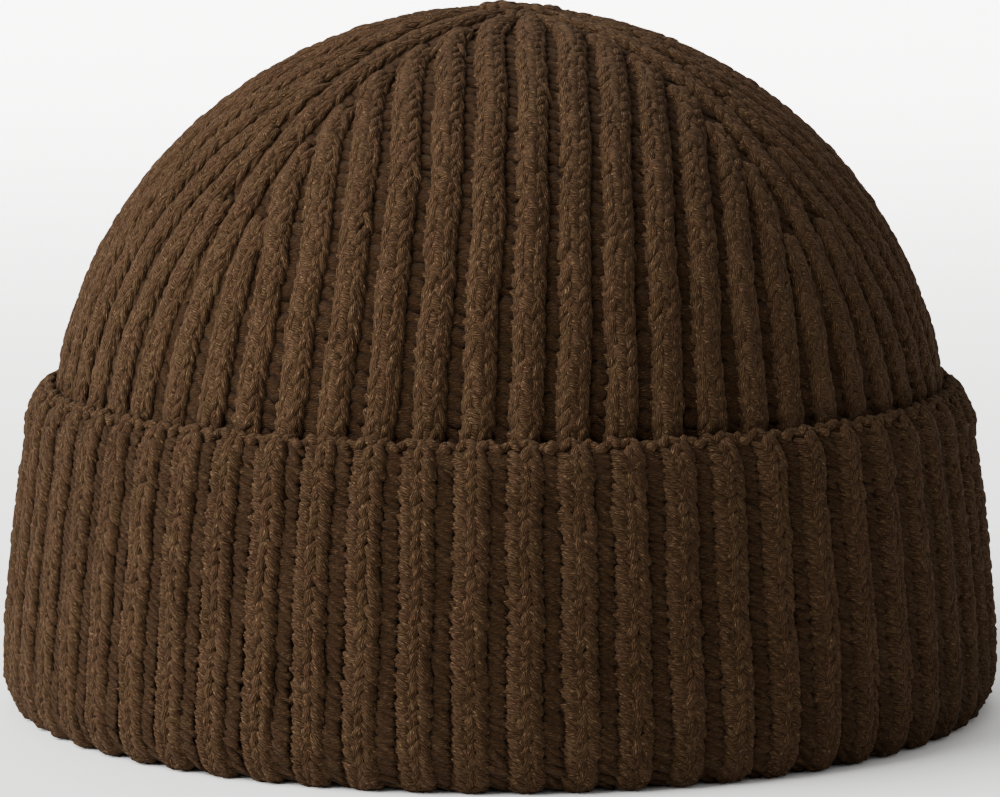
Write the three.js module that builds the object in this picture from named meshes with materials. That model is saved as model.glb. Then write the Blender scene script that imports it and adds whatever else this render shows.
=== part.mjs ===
// Knit hat: a ribbed dome whose band runs down inside a turned-up ribbed cuff.
// Millimetres, +Z up. The front panel faces -Y. The origin is the middle of the
// rim that the hat rests on.

import * as THREE from 'three';

// Ribs round the hat. The crown has four panels with a seam rib between panels.
const RIB_COUNT = 60;
const RIB_ANGLE = (2 * Math.PI) / RIB_COUNT;
// Where each panel's middle rib stands round the hat, and the ribs on its sides.
const PANELS = [
  { middleRib: 0, ribsBeside: 7 },
  { middleRib: 15, ribsBeside: 6 },
  { middleRib: 30, ribsBeside: 7 },
  { middleRib: 45, ribsBeside: 6 },
];
const FRONT = PANELS[0];
// A rib's raised top, as a share of the distance between two ribs.
const RIB_TOP_SHARE = 0.66;
const RIB_DEPTH = 1.9;

// Knit thickness from a rib's top to the plain side of the wall.
const WALL = 4.4;
// Clearance between the band and the cuff that is turned up over it.
const LAYER_GAP = 0.3;

// The dome's rib tops lie on a half ellipse turned about the axis.
const DOME_RADIUS = 89.4;
const DOME_RISE = 87;
const DOME_BASE_Z = 52.6;
// Inside this ring the ribs of a panel run side by side and end at the seam ribs.
const DART_RADIUS = 87;
// How far the ribs have drawn together at the top, as a share of their spacing,
// and how soon inside the ring they do so.
const RIB_DRAW_IN = 0.89;
const DRAW_IN_POWER = 6;
// A rib ends where its middle comes this close to the seam rib's middle.
const RIB_END_DISTANCE = 6.5;
const END_RADIUS_TOLERANCE = 0.01;
// Near the top, a seam rib's half width takes at most this share of the panel.
const SEAM_RIB_SHARE = 0.7;
// The drawn-in stitches sink a little at the very top.
const TOP_DIMPLE = 1.2;
// The ribs meet a little to the +X side of the axis: the knit is turned toward
// it over the dome, by this many degrees at the top and less further down.
const TOP_LEAN = 3.2;

// The cuff leans in toward its top and is drawn in hardest at its upper edge.
const CUFF_HEIGHT = 65.7;
const CUFF_FOOT_RADIUS = 101;
const CUFF_LEAN = 0.088;
const CUFF_EDGE_PULL = 2.4;
// Height of the butt between the band's lower edge and the fold's inner leg.
const FOLD_LEG_Z = 4.5;
// Each rib's fold hangs this much lower than the valley beside it.
const FOLD_SCALLOP = 1.6;

// Heights of the section rows, low to high.
const BAND_ROWS_Z = [FOLD_LEG_Z + LAYER_GAP, 26, 46];
const LOW_DOME_ROWS_Z = [56, 65];
const HIGH_DOME_ROWS_Z = [80];
const CUFF_WALL_ROWS_Z = [8, 22, 41, 59];
const CUFF_LINING_ROWS_Z = [FOLD_LEG_Z, 26, 46, 59];

// The rounded fold, from its inner leg out to the foot of the cuff. facing is
// the way out of the knit, in degrees from level, and ribbed rows carry ribs.
const FOLD_ROWS = [
  { radius: 91.7, z: FOLD_LEG_Z, facing: 180, ribbed: false },
  { radius: 92.3, z: 1.9, facing: -145, ribbed: false },
  { radius: 94.2, z: 0, facing: -90, ribbed: true },
  { radius: 96.6, z: 0, facing: -90, ribbed: true },
  { radius: 98.9, z: 2.4, facing: -35, ribbed: true },
];

// The cuff's rounded upper edge, from the outside over to the lining side.
const EDGE_ROWS = [
  { radius: 93.1, z: 63.4, facing: 35, ribbed: true },
  { radius: 91.5, z: CUFF_HEIGHT, facing: 80, ribbed: true },
  { radius: 89.9, z: 63.6, facing: 180, ribbed: false },
];

const YARN_BROWN = 0x54402f;
const YARN_ROUGHNESS = 0.95;

function degrees(value) {
  return (value * Math.PI) / 180;
}

// A point at a given angle from the front, toward +X, with the place along the
// ring that two rows are matched by, counted in ribs.
function ringPoint(ribPlace, angle, radius, z) {
  return { ribPlace, x: radius * Math.sin(angle), y: -radius * Math.cos(angle), z };
}

function plainRow(radius, z) {
  const row = [];
  for (let rib = 0; rib < RIB_COUNT; rib += 1) {
    row.push(ringPoint(rib, rib * RIB_ANGLE, radius, z));
  }
  return row;
}

// The radius and height of a valley's floor under a rib top that faces one way.
function sink(radius, z, facing, depth) {
  return { radius: radius - depth * Math.cos(facing), z: z - depth * Math.sin(facing) };
}

// A point of the crown once the dome's knit leans. The dome keeps its form, as
// the point moves along an ellipse round it.
function leaned(point) {
  const height = (point.z - DOME_BASE_Z) / DOME_RISE;
  if (height <= 0) {
    return point;
  }
  const across = point.x / DOME_RADIUS;
  const turn = degrees(TOP_LEAN) * Math.sqrt(height);
  const newAcross = across * Math.cos(turn) + height * Math.sin(turn);
  const newHeight = height * Math.cos(turn) - across * Math.sin(turn);
  return {
    ...point,
    x: DOME_RADIUS * newAcross,
    z: DOME_BASE_Z + DOME_RISE * newHeight,
  };
}

// The same closed row, starting from the front's middle as every other row does.
function fromPlaceZero(row) {
  const before = row.filter((point) => point.ribPlace < 0);
  before.forEach((point) => {
    point.ribPlace += RIB_COUNT;
  });
  return [...row.slice(before.length), ...before];
}

// A row of straight ribs: two edges for each rib top and one valley floor.
function ribbedRow(radius, z, facing, depth) {
  const halfTop = (RIB_TOP_SHARE * RIB_ANGLE) / 2;
  const floor = sink(radius, z, facing, depth);
  const row = [];
  for (let place = 0; place < RIB_COUNT; place += 1) {
    const middle = place * RIB_ANGLE;
    row.push(ringPoint(place - 1 / 3, middle - halfTop, radius, z));
    row.push(ringPoint(place + 1 / 3, middle + halfTop, radius, z));
    row.push(ringPoint(place + 1 / 2, middle + RIB_ANGLE / 2, floor.radius, floor.z));
  }
  return fromPlaceZero(row);
}

// The height and facing of the dome's rib tops at one ring radius.
function domeAt(radius) {
  const z = DOME_BASE_Z + DOME_RISE * Math.sqrt(1 - (radius / DOME_RADIUS) ** 2);
  const outward = radius / DOME_RADIUS ** 2;
  const upward = (z - DOME_BASE_Z) / DOME_RISE ** 2;
  return { z, facing: Math.atan2(upward, outward) };
}

function domeRadiusAt(z) {
  return DOME_RADIUS * Math.sqrt(1 - ((z - DOME_BASE_Z) / DOME_RISE) ** 2);
}

// The angle from a panel's middle to a line beside one of its ribs, on a ring.
// Below the darts a rib follows its meridian. Above, it keeps to a level plane.
function panelAngle(rib, offset, radius) {
  const meridian = rib * RIB_ANGLE;
  if (radius >= DART_RADIUS) {
    return meridian + offset / radius;
  }
  const drawIn = RIB_DRAW_IN + (1 - RIB_DRAW_IN) * (radius / DART_RADIUS) ** DRAW_IN_POWER;
  const across = DART_RADIUS * Math.sin(meridian) * drawIn;
  const narrowing = Math.sqrt(1 - (across / DOME_RADIUS) ** 2);
  return Math.asin((across + offset * narrowing) / radius);
}

// The angle from a panel's middle rib to the seam ribs beside the panel.
function seamAngle(panel) {
  return (panel.ribsBeside + 1) * RIB_ANGLE;
}

function ribReachesRing(panel, rib, radius) {
  if (radius <= DART_RADIUS * Math.sin(rib * RIB_ANGLE)) {
    return false;
  }
  const turn = seamAngle(panel) - panelAngle(rib, 0, radius);
  return radius * turn > RIB_END_DISTANCE;
}

// The ring radius at which a rib of the front panel ends against its seam rib.
function ribEndRadius(rib) {
  let low = 0;
  let high = DART_RADIUS;
  while (high - low > END_RADIUS_TOLERANCE) {
    const middle = (low + high) / 2;
    if (ribReachesRing(FRONT, rib, middle)) {
      high = middle;
    } else {
      low = middle;
    }
  }
  return low;
}

// How many ribs are left on each side of a panel's middle rib, on a ring. With
// none left, not even the middle one, this is -1.
function ribsLeftBeside(panel, radius) {
  if (radius >= DART_RADIUS) {
    return panel.ribsBeside;
  }
  let rib = panel.ribsBeside;
  while (rib >= 0 && !ribReachesRing(panel, rib, radius)) {
    rib -= 1;
  }
  return rib;
}

// The edges of the rib tops of one panel on a ring, from seam rib to seam rib.
function ribTopEdges(panel, radius, halfTop) {
  const places = panel.ribsBeside + 1;
  const widest = seamAngle(panel) * SEAM_RIB_SHARE;
  const seamEdge = seamAngle(panel) - Math.min(halfTop / radius, widest);
  const left = ribsLeftBeside(panel, radius);
  const tops = [{ place: -places + 1 / 3, angle: -seamEdge }];
  for (let rib = -left; rib <= left; rib += 1) {
    const side = Math.sign(rib);
    const inner = side * panelAngle(Math.abs(rib), -halfTop, radius);
    const outer = side * panelAngle(Math.abs(rib), halfTop, radius);
    const edges = side === 0 ? [-halfTop / radius, halfTop / radius] : [inner, outer];
    tops.push({ place: rib - 1 / 3, angle: Math.min(...edges) });
    tops.push({ place: rib + 1 / 3, angle: Math.max(...edges) });
  }
  tops.push({ place: places - 1 / 3, angle: seamEdge });
  return tops;
}

// A dome row: the ribs that reach this ring, the seam ribs and the valleys.
function domeRow(radius) {
  const { z, facing } = domeAt(radius);
  const spacing = Math.max(radius, DART_RADIUS) * RIB_ANGLE;
  const halfTop = (RIB_TOP_SHARE * spacing) / 2;
  const floor = sink(radius, z, facing, RIB_DEPTH);
  const row = [];
  for (const panel of PANELS) {
    const turn = panel.middleRib * RIB_ANGLE;
    const tops = ribTopEdges(panel, radius, halfTop);
    tops.forEach((top, index) => {
      row.push(ringPoint(top.place + panel.middleRib, top.angle + turn, radius, z));
      if (index % 2 === 0) {
        const next = tops[index + 1];
        const place = (top.place + next.place) / 2 + panel.middleRib;
        const angle = (top.angle + next.angle) / 2 + turn;
        row.push(ringPoint(place, angle, floor.radius, floor.z));
      }
    });
  }
  return fromPlaceZero(row);
}

// A smooth row on the dome's inner side, one wall in from the rib tops.
function domeLiningRow(radius) {
  const { z, facing } = domeAt(radius);
  const inner = sink(radius, z, facing, WALL);
  return plainRow(inner.radius, inner.z);
}

function cuffRadiusAt(z) {
  return CUFF_FOOT_RADIUS - CUFF_LEAN * z - CUFF_EDGE_PULL * (z / CUFF_HEIGHT) ** 4;
}

function bandRadiusAt(z) {
  return cuffRadiusAt(z) - WALL - LAYER_GAP;
}

// Faces between two closed rows. Both are walked round together, and the row
// whose next point has the lower place along the ring moves on.
function addFacesBetween(faces, lower, upper) {
  let low = 0;
  let high = 0;
  while (low < lower.length || high < upper.length) {
    const lowPoint = lower[low % lower.length];
    const highPoint = upper[high % upper.length];
    const nextLow = lower[(low + 1) % lower.length];
    const nextHigh = upper[(high + 1) % upper.length];
    const lowPlace = nextLow.ribPlace + (low + 1 >= lower.length ? RIB_COUNT : 0);
    const highPlace = nextHigh.ribPlace + (high + 1 >= upper.length ? RIB_COUNT : 0);
    if (high >= upper.length || (low < lower.length && lowPlace <= highPlace)) {
      faces.push([lowPoint, nextLow, highPoint]);
      low += 1;
    } else {
      faces.push([lowPoint, nextHigh, highPoint]);
      high += 1;
    }
  }
}

function addCap(faces, row, apex, rowIsBelow) {
  row.forEach((point, index) => {
    const next = row[(index + 1) % row.length];
    faces.push(rowIsBelow ? [point, next, apex] : [next, point, apex]);
  });
}

function meshFromFaces(name, faces) {
  const numbers = new Map();
  const positions = [];
  const indices = [];
  for (const face of faces) {
    for (const point of face) {
      if (!numbers.has(point)) {
        numbers.set(point, numbers.size);
        positions.push(point.x, point.y, point.z);
      }
      indices.push(numbers.get(point));
    }
  }
  const geometry = new THREE.BufferGeometry();
  geometry.setAttribute('position', new THREE.Float32BufferAttribute(positions, 3));
  geometry.setIndex(indices);
  geometry.computeVertexNormals();
  const material = new THREE.MeshStandardMaterial({
    color: YARN_BROWN,
    roughness: YARN_ROUGHNESS,
    metalness: 0,
  });
  const mesh = new THREE.Mesh(geometry, material);
  mesh.name = name;
  return mesh;
}

// The dome and the band under it: one hollow wall, open at the bottom.
function makeCrown() {
  const endRadii = [];
  for (let rib = FRONT.ribsBeside; rib >= 0; rib -= 1) {
    endRadii.push(ribEndRadius(rib));
  }
  const lowerRadii = [
    ...LOW_DOME_ROWS_Z.map(domeRadiusAt),
    DART_RADIUS,
    ...HIGH_DOME_ROWS_Z.map(domeRadiusAt),
  ];
  const outside = [
    ...BAND_ROWS_Z.map((z) => plainRow(bandRadiusAt(z), z)),
    ...lowerRadii.map(domeRow),
    ...endRadii.map(domeRow),
  ].map((row) => row.map(leaned));
  const inside = [
    ...BAND_ROWS_Z.map((z) => plainRow(bandRadiusAt(z) - WALL, z)),
    ...lowerRadii.map(domeLiningRow),
    ...endRadii.slice(1).map(domeLiningRow),
  ].map((row) => row.map(leaned));
  const topZ = DOME_BASE_Z + DOME_RISE;
  const faces = [];
  outside.slice(1).forEach((row, index) => addFacesBetween(faces, outside[index], row));
  addCap(faces, outside.at(-1), leaned(ringPoint(0, 0, 0, topZ - TOP_DIMPLE)), true);
  addCap(faces, inside.at(-1), leaned(ringPoint(0, 0, 0, topZ - WALL)), false);
  inside.slice(1).forEach((row, index) => addFacesBetween(faces, row, inside[index]));
  addFacesBetween(faces, inside[0], outside[0]);
  return meshFromFaces('crown', faces);
}

function rowFromTable({ radius, z, facing, ribbed }) {
  if (!ribbed) {
    return plainRow(radius, z);
  }
  const direction = degrees(facing);
  const depth = facing === -90 ? FOLD_SCALLOP : RIB_DEPTH;
  return ribbedRow(radius, z, direction, depth);
}

// The turned-up band with its rounded fold underneath. Its ribs stand in line
// with the crown's.
function makeCuff() {
  const wall = CUFF_WALL_ROWS_Z.map((z) => ribbedRow(cuffRadiusAt(z), z, 0, RIB_DEPTH));
  const lining = CUFF_LINING_ROWS_Z.map((z) => plainRow(cuffRadiusAt(z) - WALL, z));
  const loop = [
    ...FOLD_ROWS.map(rowFromTable),
    ...wall,
    ...EDGE_ROWS.map(rowFromTable),
    ...lining.reverse(),
  ];
  const faces = [];
  loop.forEach((row, index) => {
    addFacesBetween(faces, row, loop[(index + 1) % loop.length]);
  });
  return meshFromFaces('cuff', faces);
}

const hat = new THREE.Group();
hat.name = 'knit_hat';
hat.add(makeCrown(), makeCuff());

export default hat;
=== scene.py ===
"""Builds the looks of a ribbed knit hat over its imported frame.

Every stitch that shows from outside is a leg of yarn. Two legs make a V, the
Vs stack into wales, and two wales make a rib. The ribs climb the dome in four
panels and end at the seam ribs, and on the turned-up cuff the knit shows its
other side.
"""

import math

import bmesh
import bpy
import numpy as np
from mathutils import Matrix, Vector


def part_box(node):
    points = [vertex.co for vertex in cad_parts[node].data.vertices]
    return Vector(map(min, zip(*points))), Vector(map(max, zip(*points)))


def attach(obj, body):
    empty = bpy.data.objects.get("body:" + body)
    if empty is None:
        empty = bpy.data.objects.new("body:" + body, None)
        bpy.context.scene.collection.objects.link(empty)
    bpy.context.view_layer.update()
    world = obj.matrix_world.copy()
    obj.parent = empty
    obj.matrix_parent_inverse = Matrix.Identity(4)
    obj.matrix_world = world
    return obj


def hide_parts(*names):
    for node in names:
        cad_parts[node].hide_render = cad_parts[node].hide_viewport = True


bl_info = {
    "name": "Ribbed Knit Hat",
    "version": (1, 0, 0),
    "blender": (4, 5, 0),
    "location": "View3D > Sidebar > Knit Hat",
    "description": "Knits a rib-knit cap with a turned-up cuff over its packed frame",
    "category": "Object",
}

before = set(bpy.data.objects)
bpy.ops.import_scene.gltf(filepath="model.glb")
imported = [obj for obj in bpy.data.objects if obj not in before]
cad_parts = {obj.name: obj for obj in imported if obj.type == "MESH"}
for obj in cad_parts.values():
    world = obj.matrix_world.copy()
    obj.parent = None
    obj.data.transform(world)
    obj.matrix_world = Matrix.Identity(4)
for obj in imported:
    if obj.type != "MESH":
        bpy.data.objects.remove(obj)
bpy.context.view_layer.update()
CUFF_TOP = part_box("cuff")[1].z

MM = 0.001
# A share or an angle under this counts as none.
TINY = 1e-6

# The ribs, as in the frame: four panels, with a seam rib between panels. Each
# panel has its middle rib's place round the hat and the ribs on its sides.
RIB_COUNT = 60
RIB_ANGLE = 2 * math.pi / RIB_COUNT
PANELS = {
    "front": {"middle_rib": 0, "ribs_beside": 7},
    "right": {"middle_rib": 15, "ribs_beside": 6},
    "back": {"middle_rib": 30, "ribs_beside": 7},
    "left": {"middle_rib": 45, "ribs_beside": 6},
}

# The dome's rib tops lie on a half ellipse turned about the axis.
DOME_RADIUS = 89.4 * MM
DOME_RISE = 87.0 * MM
DOME_BASE_Z = 52.6 * MM
# Inside this ring a panel's ribs run side by side and end at the seam ribs.
DART_RADIUS = 87.0 * MM
RIB_DRAW_IN = 0.89
DRAW_IN_POWER = 6
# The dome's knit is turned toward the right, most at the top.
TOP_LEAN = math.radians(3.2)

# The cuff's outer wall leans in, and is drawn in hardest at its upper edge.
CUFF_FOOT_RADIUS = 101.0 * MM
CUFF_LEAN = 0.088
CUFF_EDGE_PULL = 2.4 * MM
CUFF_EDGE_PULL_POWER = 4
CUFF_EDGE_RADIUS = 89.7 * MM
CUFF_EDGE_ROUND_Z = 54.5 * MM
FOLD_MIDDLE_RADIUS = 95.6 * MM
FOLD_ROUND_Z = 9.0 * MM
FOLD_FULLNESS = 2.1
CUFF_STITCHES_END_Z = 17.0 * MM
CUFF_STITCHES_END_RADIUS = 90.3 * MM
# Points along the edge, the wall, the fold and the inner leg of its outline.
EDGE_POINTS = 24
WALL_POINTS = 60
FOLD_POINTS = 60
INNER_POINTS = 12
# The first stitches stand this many rows below the upper edge.
CUFF_FIRST_ROW = 1.5

# The knit's thickness, from a rib's top to the crest of the ribs inside.
WALL = 4.4 * MM
LAYER_GAP = 0.3 * MM

# The first stitches of the crown stand behind the cuff's upper edge.
CROWN_STITCHES_START_Z = 57.0 * MM
CROWN_STITCHES_END_RADIUS = 5.0 * MM
SEAM_RIB_ROOM = 3.0 * MM
RIB_END_FADE = 2.6 * MM
RIB_END_SINK = 1.4 * MM
# A rib bends away from the seam rib as it nears it, and ends beside it.
SEAM_BEND_ROOM = 6.0 * MM
SEAM_BEND_SOFTNESS = 3.0 * MM
SEAM_END_ROOM = 1.6 * MM
# A rib is followed up the dome in fine steps, and turns gently over some of
# them where it starts to run beside its neighbours.
CLIMB_STEPS = 900
RIB_TURN_STEPS = 90

# The yarn stands this far proud of the frame, as soft ribs swell, and less
# near the floor.
SWELL = 1.0 * MM
SWELL_FULL_Z = 18.0 * MM
# The floor presses the fold's lowest yarn flat at this height.
FLOOR_ROOM = 0.05 * MM

# One leg of yarn, at its thickest, and how much the legs differ from each
# other in place, size and lean in degrees.
LEG_THICK = 1.0 * MM
LEG_FULLNESS = 0.52
LEG_SIDE_SPREAD = 0.13 * MM
LEG_SINK_SPREAD = 0.06 * MM
LEG_SIZE_SPREAD = 0.08
LEG_LEAN_SPREAD = 6.5
# A rib sways once over a length in this range, in millimetres for a radian.
WANDER_LENGTHS = (4, 7)

# The legs across one rib, in the order that the yarn's own right side has.
# offset is from the rib's middle, sink is below its top, half is half the
# leg's width, long its length, arch its bend and shift its move along the
# rib, in millimetres. roll turns the leg over the rib's side, lean is from the
# rib and twist is the fibres' angle, in degrees. sides is how many a leg has.
LEG_COLUMNS = (
    "offset", "sink", "half", "long", "arch", "roll", "lean", "twist", "shift", "sides",
)
CROWN_LEGS = [
    (-3.15, 1.45, 1.00, 3.3, 0.20, -50, -46, -20, 0, 5),
    (-2.20, 0.50, 1.25, 5.9, 0.25, -34, 17, -6, 0, 6),
    (-0.10, 0.00, 1.50, 5.9, 0.28, 0, -18, -54, 0, 6),
    (1.80, 0.25, 1.15, 5.5, 0.34, 20, 18, -10, 0, 6),
    (3.10, 1.00, 0.95, 5.6, 0.22, 46, -15, -4, 0, 6),
]
CUFF_LEGS = [
    (3.90, 1.55, 1.00, 3.6, 0.20, 36, -68, -20, 0, 5),
    (2.35, 0.40, 0.86, 4.5, 0.30, 22, -54, -24, 0, 5),
    (2.35, 0.40, 0.86, 4.5, 0.30, 22, -54, -24, 1.37, 5),
    (0.10, 0.00, 1.25, 4.9, 0.45, 0, 20, -4, 0, 6),
    (-2.25, 0.40, 1.34, 5.4, 0.24, -22, -24, -34, 0, 6),
]
# The cuff shows the knit's other side. Its legs are toned a little darker than
# the crown's, though it is the same yarn: painted shade.
CUFF_PAINTED_SHADE = -0.4
# A crown rib keeps this share of its width at the top, where ribs crowd.
RIB_TOP_WIDTH = 0.93
RIB_WIDTH_POWER = 2

# Bars of yarn across the sunken valley between two ribs. They slant, sag and
# differ from each other, and the negative tones make them dark: painted shade
# in the valleys.
BAR_LENGTH = 5.3 * MM
CROWN_BAR_HALF_WIDTH = 2.3 * MM
CUFF_BAR_HALF_WIDTH = 1.05 * MM
BAR_THICK = 0.35 * MM
BAR_SAG = -0.2 * MM
BAR_SLANT = 26
BAR_SLANT_SPREAD = 10
BAR_SINK_SPREAD = 0.08 * MM
BAR_SIZE_SPREAD = 0.12
BAR_PAINTED_SHADE_TONES = (-1.7, -0.9)
CUFF_BAR_SINK = 0.6 * MM
CUFF_BAR_SINK_BELOW = 1.0 * MM
CROWN_BAR_SINK = 0.8 * MM
CROWN_BAR_SINK_MORE = 0.1 * MM
CROWN_BAR_SINK_POWER = 6
CROWN_BAR_OFFSET = 4.9 * MM
CUFF_BAR_OFFSET = -4.9 * MM

# The fibres' angle on bars and loose legs, and a loose leg's bend and spread.
FIBRE_TWIST = -40
LOOSE_ARCH = 0.35 * MM
LOOSE_SIZE_SPREAD = 0.06
PLAIN_TONES = (0, 1)

# Depth of the backing wall under the legs and in the valleys.
BACKING_UNDER_RIB = 0.6 * MM
BACKING_IN_VALLEY = 1.5 * MM
BACKING_STEPS = 480
BACKING_CLIMB_STEPS = 26
BACKING_BAND_STEPS = 8
INSIDE_RELIEF = 0.9 * MM
# The cuff's ground takes each sixth point of its outline.
CUFF_GROUND_STRIDE = 6
CUFF_GROUND_THINNER = 0.3 * MM
CUFF_POINTS_PER_ROW = 2.0
OUTER_FACE_ROOM = 0.3 * MM
MERGE_DISTANCE = 0.01 * MM
# Across a rib and its valley, the flat of the rib's half and its slope.
RIB_FLAT = 0.22
RIB_SLOPE = 0.16
RIB_SLOPE_POWER = 1.3
BAND_FOOT_Z = 8.0 * MM
BAND_FULL_Z = 18.0 * MM
BAND_FOOT_RECESS = 1.8 * MM

# The cast-on edge along the cuff's top, with a bead of yarn in each valley.
# Slopes and leans are in degrees, sizes are across, thick and half the length.
EDGE_LEGS_PER_RIB = 5
EDGE_RADIUS = 91.0 * MM
EDGE_Z = 64.4 * MM
EDGE_SLOPE = 30
EDGE_LEAN = 38
EDGE_LEAN_SPREAD = 12
EDGE_WAVE = 0.3 * MM
EDGE_PLACE_SPREAD = 0.15 * MM
EDGE_LEG_SIZE = (1.05 * MM, 0.95 * MM, 1.75 * MM)
BEAD_RADIUS = 0.9 * MM
BEAD_RING_RADIUS = 92.2 * MM
BEAD_Z = 64.0 * MM
BEAD_LONGER = 1.25
BEAD_LEAN = 25
BEAD_LEAN_SPREAD = 15

# The drawn-in top: short legs in rings round a small knot. Radius, rise and
# left are in millimetres, and lean is in degrees.
GATHER_RINGS = [
    {"radius": 1.4, "rise": 1.7, "legs": 4, "lean": 60, "left": 4.0},
    {"radius": 4.0, "rise": 1.4, "legs": 9, "lean": 35, "left": 4.0},
    {"radius": 3.6, "rise": 1.5, "legs": 8, "lean": 35, "left": -2.5},
    {"radius": 7.0, "rise": 0.8, "legs": 14, "lean": 15, "left": 0.0},
]
GATHER_SLOPE = 75
GATHER_TURN_SPREAD = 0.1
GATHER_LEAN_SPREAD = 8
GATHER_LEG_SIZE = (1.2 * MM, 1.05 * MM, 2.3 * MM)

RANDOM_SEED = 64

# The yarn's surface. The strands wander this far to the side over a length.
STRAND_SPACING = 0.30 * MM
STRAND_LENGTH = 1.4 * MM
STRAND_RELIEF = 0.24 * MM
STRAND_WAVE = 0.7 * MM
STRAND_WAVE_LENGTH = 1.3 * MM
# The plies bend by some radians over a length, and add a share of relief.
PLY_SPACING = 0.45 * MM
PLY_BEND = 5.0
PLY_BEND_LENGTH = 1.6 * MM
PLY_SHARE = 0.13
# How much a leg's own tone and a slow drift lighten its fibres, and the sums
# that make them all dark and all light. The tone also carries the painted shade
# of the cuff and of the valley bars.
TONE_SHARE = 0.10
DRIFT_SHARE = 0.15
DRIFT_PER_METRE = 70.0
ALL_DARK = 0.45
ALL_LIGHT = 0.84
# Loose pale fibres lie over the strands here and there, and paint highlights
# on them as well.
HAIR_WIDTH = 0.22 * MM
HAIR_LENGTH = 1.0 * MM
HAIR_PLACE = (7.0, 3.0, 0)
HAIR_TURN = 0.2
HAIRS_FROM = 0.60
HAIRS_FULL = 0.71
HAIRS_AT_MOST = 0.43
HAIRS_LOST_PER_TONE = 0.5
# Heathered yarn turns a little redder and back over some millimetres.
HEATHER_PER_METRE = 260.0
HEATHER_HUES = (0.493, 0.503)
# Noise seldom leaves this range.
NOISE_LOW = 0.3
NOISE_HIGH = 0.7
# The ground's rows of V stitches, in shares of a rib and of a row.
GROUND_V_WIDTH = 0.25
GROUND_V_SLANT = 3.0
GROUND_ROW = 0.5
GROUND_RELIEF = 1.2 * MM
FUZZ_PER_METRE = 900.0
FUZZ_SHARE = 0.5
FUZZ_LIGHT = 0.6

# The studio, in metres, watts and degrees.
FLOOR_RADIUS = 30.0
FLOOR_SIDES = 96
WORLD_LIGHT = 0.68
LIGHTS = [
    {
        "name": "key", "place": (-1.5, -0.46, 1.2), "size": 1.7, "power": 136.0,
        "aim": (0, 0, 0.07), "spread": 180,
    },
    {
        "name": "backdrop", "place": (0, 2.6, 2.2), "size": 3.0, "power": 260.0,
        "aim": (0, 2.4, 0), "spread": 60,
    },
]

# The camera. The hat's width in the photograph fixes the lens, in pixels for
# a radian, at the camera's distance.
IMAGE_WIDTH = 1000
PIXELS_PER_RADIAN = 5450
SENSOR = 36.0
AIM_HEIGHT = 0.0612


def linear(hex_colour):
    """An sRGB hex colour as linear red, green and blue."""
    channels = [int(hex_colour[start:start + 2], 16) / 255 for start in (0, 2, 4)]
    return [c / 12.92 if c <= 0.04045 else ((c + 0.055) / 1.055) ** 2.4 for c in channels]


class KnitHatSettings(bpy.types.PropertyGroup):
    """The sizes and colours that a user would change."""

    crown_course: bpy.props.FloatProperty(
        name="Crown Stitch Height", description="Height of one row of the crown's stitches",
        default=3.05 * MM, min=1.5 * MM, max=6 * MM, unit="LENGTH",
    )
    cuff_course: bpy.props.FloatProperty(
        name="Cuff Stitch Height", description="Height of one row of the cuff's stitches",
        default=2.75 * MM, min=1.5 * MM, max=6 * MM, unit="LENGTH",
    )
    wander: bpy.props.FloatProperty(
        name="Rib Wander", description="How far a rib sways to either side",
        default=0.22 * MM, min=0.0, max=1 * MM, unit="LENGTH",
    )
    yarn_light: bpy.props.FloatVectorProperty(
        name="Light Fibres", description="Colour of the fibres on top of the yarn",
        default=linear("3f2f20"), size=3, min=0.0, max=1.0, subtype="COLOR",
    )
    # The dark colour also paints shade, in the grooves between the strands and on the valley
    # bars.
    yarn_dark: bpy.props.FloatVectorProperty(
        name="Dark Fibres", description="Colour between the fibres of the yarn",
        default=linear("1f1308"), size=3, min=0.0, max=1.0, subtype="COLOR",
    )
    # The pale colour also paints highlights on the strands.
    yarn_hairs: bpy.props.FloatVectorProperty(
        name="Pale Fibres", description="Colour of the few loose fibres on the yarn",
        default=linear("7a6348"), size=3, min=0.0, max=1.0, subtype="COLOR",
    )
    floor_colour: bpy.props.FloatVectorProperty(
        name="Floor", description="Colour of the studio floor",
        default=linear("f2f1ef"), size=3, min=0.0, max=1.0, subtype="COLOR",
    )
    camera_distance: bpy.props.FloatProperty(
        name="Camera Distance", description="Level distance from the hat's axis",
        default=1.09, min=0.3, max=5.0, unit="LENGTH",
    )
    camera_height: bpy.props.FloatProperty(
        name="Camera Height", description="Height above the floor",
        default=0.209, min=0.02, max=2.0, unit="LENGTH",
    )
    camera_turn: bpy.props.FloatProperty(
        name="Camera Turn", description="Turn of the camera to the panel's left",
        default=math.radians(-2.8), subtype="ANGLE",
    )


def settings_now():
    return bpy.context.scene.knit_hat


def dome_height(radius):
    return DOME_BASE_Z + DOME_RISE * np.sqrt(1 - (radius / DOME_RADIUS) ** 2)


def draw_in(radius):
    return RIB_DRAW_IN + (1 - RIB_DRAW_IN) * (radius / DART_RADIUS) ** DRAW_IN_POWER


def seam_angle(panel):
    """Angle from a panel's middle to the seam rib on either side."""
    return (panel["ribs_beside"] + 1) * RIB_ANGLE


def panel_angle(rib, radius):
    """Angle of a rib's middle from its panel's middle, on rings of the dome."""
    across = DART_RADIUS * np.sin(rib * RIB_ANGLE) * draw_in(radius)
    side_by_side = np.arcsin(np.clip(across / radius, -1, 1))
    return np.where(radius >= DART_RADIUS, rib * RIB_ANGLE, side_by_side)


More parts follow.
